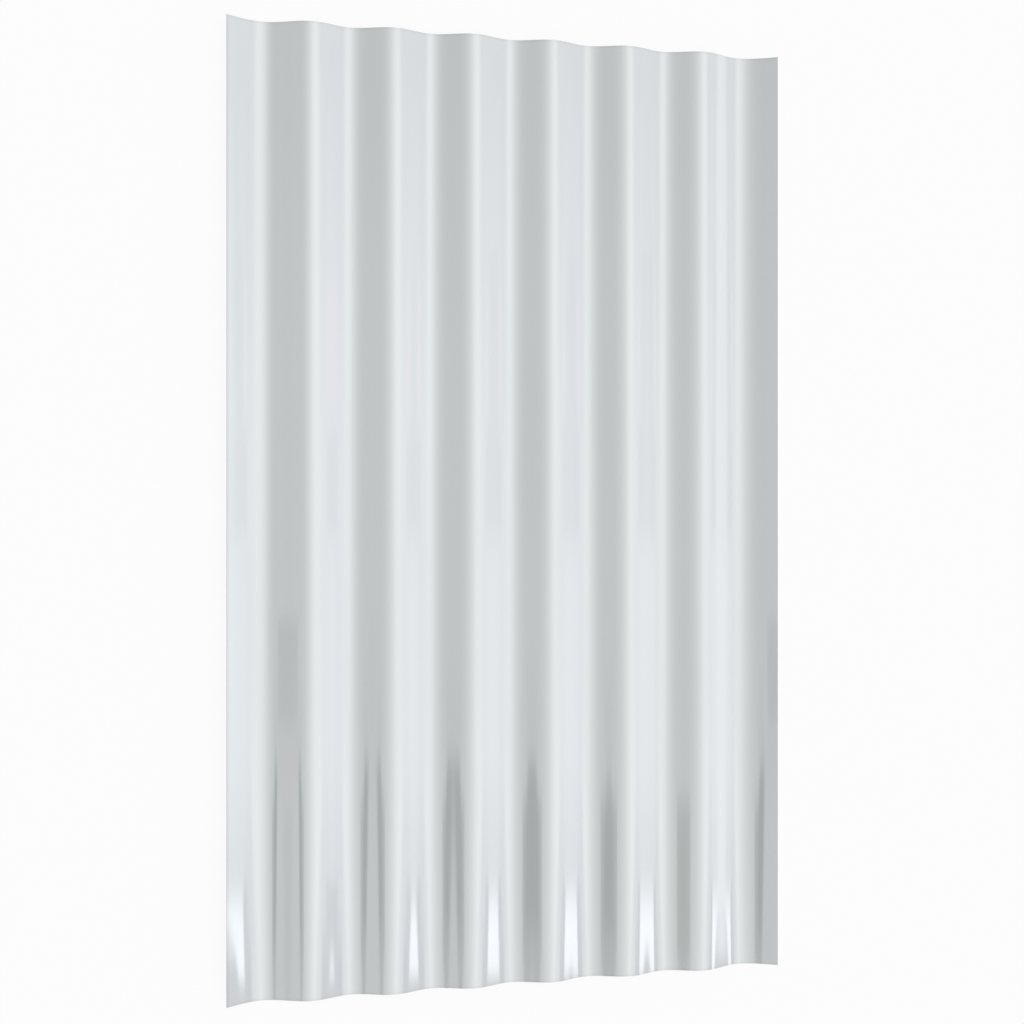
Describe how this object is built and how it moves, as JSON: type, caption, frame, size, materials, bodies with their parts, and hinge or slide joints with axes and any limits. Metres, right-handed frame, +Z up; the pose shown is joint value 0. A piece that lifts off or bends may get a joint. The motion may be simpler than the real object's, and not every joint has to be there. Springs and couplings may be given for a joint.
{
  "type": "corrugated metal sheet",
  "caption": "Light-gauge corrugated steel sheet for roofing and cladding: even waves along its length, a slightly deeper valley beside each long edge, a smooth silver-grey coat and plain cut edges.",
  "frame": {"origin": "middle of the sheet, level with the undersides of its two edge valleys, which touch the floor", "axes": "+X across the waves, +Y along the waves and the length, +Z up out of the weather face"},
  "size_m": [0.3606, 0.6, 0.0102],
  "materials": {
    "silver_coat": "smooth glossy silver-grey coat on thin steel, faint lengthwise rolling lines, bare steel at the cut edges"
  },
  "bodies": {
    "root": {"corrugated_sheet": "silver_coat"}
  },
  "joints": []
}
